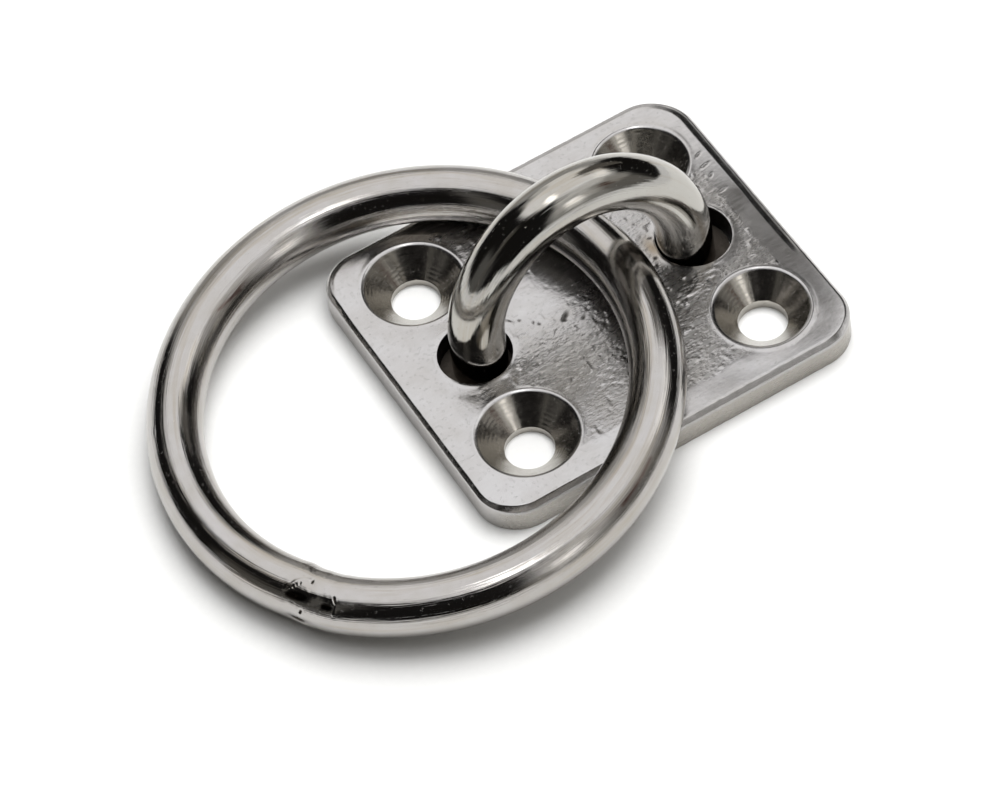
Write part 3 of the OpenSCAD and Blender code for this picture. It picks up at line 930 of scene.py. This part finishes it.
# The floor lies just under the part. It glows white from FLOOR_FADE outwards, in metres from the origin.
FLOOR_Z, FLOOR_RADII, FLOOR_POINTS = -0.02, [0, 40, 80, 130, 175.0], 96
FLOOR_FADE = (0.075, 0.15)
FLOOR_TONES = (0.83, 0.83, 0.82, 1), (0.87, 0.87, 0.86, 1)
# A black card close by, between its two lower corners, from its lower to its upper edge
CARD = [(31.3, 36.0), (52.0, 22.0)]
CARD_Z = (40.0, 100.0)


def seen_rays(tree):
    """1 for the rays of the camera, of reflections and of transmission, 0 for those that only carry light."""
    path = node(tree, "ShaderNodeLightPath").outputs
    total = math_node(tree, "ADD", path["Is Camera Ray"], path["Is Glossy Ray"])
    return math_node(tree, "ADD", total, path["Is Transmission Ray"], clamp=True)


def build_world():
    """The studio round the part, white below the horizon."""
    world = bpy.data.worlds.new("studio")
    bpy.context.scene.world = world
    world.use_nodes = True
    tree = world.node_tree
    tree.nodes.clear()

    def vector_math(operation, *values):
        return node(tree, "ShaderNodeVectorMath", dict(enumerate(values)), operation=operation).outputs

    # The panels' edges waver a little
    direction = node(tree, "ShaderNodeTexCoord").outputs["Generated"]
    wander = node(tree, "ShaderNodeTexNoise", {"Vector": direction, "Scale": 3.5, "Detail": 3.0})
    wander = vector_math("SUBTRACT", wander.outputs["Color"], (0.5, 0.5, 0.5))[0]
    wander = scaled(tree, wander, (0.10, 0.10, 0.10))
    direction = vector_math("ADD", direction, wander)[0]
    direction = vector_math("NORMALIZE", direction)[0]
    parts = node(tree, "ShaderNodeSeparateXYZ", {0: direction})
    azimuth = math_node(tree, "ARCTAN2", parts.outputs[1], parts.outputs[0])
    elevation = math_node(tree, "ARCSINE", parts.outputs[2])

    def soft_edge(distance, half, soft):
        return ranged(tree, distance, half - soft, half + soft, 1.0, 0.0, "SMOOTHSTEP")

    def panel_mask(az, el, half_az, half_el, soft):
        az, el, half_az, half_el, soft = (math.radians(v) for v in (az, el, half_az, half_el, soft))
        turn = math_node(tree, "WRAP", math_node(tree, "SUBTRACT", azimuth, az), math.pi, -math.pi)
        across = soft_edge(math_node(tree, "ABSOLUTE", turn), half_az, soft)
        rise = math_node(tree, "ABSOLUTE", math_node(tree, "SUBTRACT", elevation, el))
        return math_node(tree, "MULTIPLY", across, soft_edge(rise, half_el, soft))

    colour = node(tree, "ShaderNodeRGB").outputs[0]
    colour.default_value = DARK_ROOM
    for az, el, half_az, half_el, soft, level, tint in PANELS:
        shade = tuple(level * t for t in tint) + (1,)
        colour = mix_colour(tree, panel_mask(az, el, half_az, half_el, soft), colour, shade)
    for az, el, radius, soft, level in OVERHEAD:
        az, el, radius, soft = (math.radians(v) for v in (az, el, radius, soft))
        aim = (math.cos(el) * math.cos(az), math.cos(el) * math.sin(az), math.sin(el))
        near = vector_math("DOT_PRODUCT", direction, aim)["Value"]
        disc = soft_edge(math_node(tree, "ARCCOSINE", near), radius, soft)
        colour = mix_colour(tree, disc, colour, (level, level, level * 1.005, 1))
    below = soft_edge(elevation, math.radians(-0.8), math.radians(0.4))
    colour = mix_colour(tree, math_node(tree, "MULTIPLY", below, seen_rays(tree)), colour, WHITE)
    background = node(tree, "ShaderNodeBackground", {"Color": colour})
    output = node(tree, "ShaderNodeOutputWorld")
    tree.links.new(background.outputs[0], output.inputs["Surface"])


def add_floor():
    """A round of pale paper that takes the part's shadow and fades to white further out."""
    count = FLOOR_POINTS
    verts = [(0, 0, FLOOR_Z)]
    for r in FLOOR_RADII[1:]:
        turns = [2 * math.pi * k / count for k in range(count)]
        verts += [(r * math.cos(turn), r * math.sin(turn), FLOOR_Z) for turn in turns]
    faces = [(0, 1 + k, 1 + (k + 1) % count) for k in range(count)]
    faces += grid_faces(len(FLOOR_RADII) - 1, count, first=1)
    material, tree, shader = new_material("floor_paper")
    shader.inputs["Metallic"].default_value = 0.0
    shader.inputs["Roughness"].default_value = 0.9
    shader.inputs["Specular IOR Level"].default_value = 0.1
    position = node(tree, "ShaderNodeNewGeometry").outputs["Position"]
    grain = noise_node(tree, position, 1500.0, 2.0)
    tree.links.new(mix_colour(tree, grain, *FLOOR_TONES), shader.inputs["Base Color"])
    distance = node(tree, "ShaderNodeVectorMath", {0: position}, operation="LENGTH").outputs["Value"]
    away = ranged(tree, distance, *FLOOR_FADE, 0.0, 1.0, "SMOOTHSTEP")
    glow = node(tree, "ShaderNodeEmission", {"Color": WHITE, "Strength": 1.0})
    mix = node(tree, "ShaderNodeMixShader", {0: math_node(tree, "MULTIPLY", away, seen_rays(tree))})
    tree.links.new(shader.outputs[0], mix.inputs[1])
    tree.links.new(glow.outputs[0], mix.inputs[2])
    output = next(n for n in tree.nodes if n.type == "OUTPUT_MATERIAL")
    tree.links.new(mix.outputs[0], output.inputs["Surface"])
    floor = add_mesh("floor", verts, faces, material)
    floor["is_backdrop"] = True


def add_card():
    """A black card that only the metal's reflections see."""
    (ax, ay), (bx, by) = CARD
    verts = [(ax, ay, CARD_Z[0]), (bx, by, CARD_Z[0]), (bx, by, CARD_Z[1]), (ax, ay, CARD_Z[1])]
    material, tree, shader = new_material("card_black")
    shader.inputs["Metallic"].default_value = 0.0
    shader.inputs["Base Color"].default_value = (0.03, 0.03, 0.03, 1)
    shader.inputs["Roughness"].default_value = 0.9
    shader.inputs["Emission Color"].default_value = (1.0, 0.96, 0.90, 1)
    shader.inputs["Emission Strength"].default_value = 0.13
    card = add_mesh("black_card", verts, [(0, 1, 2, 3)], material)
    card.visible_camera = card.visible_diffuse = card.visible_shadow = card.visible_transmission = False
    card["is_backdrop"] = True


def add_lamp(name, azimuth, elevation, distance, size, watts):
    """A soft lamp for the floor and its shadows, in metres; the metal doesn't reflect it."""
    data = bpy.data.lights.new(name, "AREA")
    data.shape = "DISK"
    data.size = size
    data.energy = watts
    lamp = bpy.data.objects.new(name, data)
    az, el = math.radians(azimuth), math.radians(elevation)
    place = Vector((math.cos(el) * math.cos(az), math.cos(el) * math.sin(az), math.sin(el)))
    facing_part = place.to_track_quat("Z", "Y").to_matrix().to_4x4()
    lamp.matrix_world = Matrix.Translation(place * distance) @ facing_part
    lamp.visible_glossy = False
    lamp.visible_camera = False
    bpy.context.scene.collection.objects.link(lamp)


add_camera()
build_world()
add_floor()
add_card()
add_lamp("overhead", azimuth=36, elevation=66, distance=0.7, size=0.65, watts=5.1)

add_ring(bar_material("ring_polish", RING_TONES, rough=(0.08, 0.15), streak_depth=0.030))
add_bow(bar_material("bow_polish", BOW_TONES, rough=(0.05, 0.11), streak_depth=0.018))
add_plate(plate_material())
weld = weld_material()
for name in ("left_leg_weld", "right_leg_weld"):
    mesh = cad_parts[name].data
    mesh.materials.clear()
    mesh.materials.append(weld)

bpy.context.scene.view_settings.view_transform = "Standard"


def plain(value):
    """Bounds as plain lists of numbers."""
    if isinstance(value, (int, float)):
        return float(value)
    return [plain(v) for v in value]


{"at_load": plain(bounds_at_load), "at_finish": plain(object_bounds())}
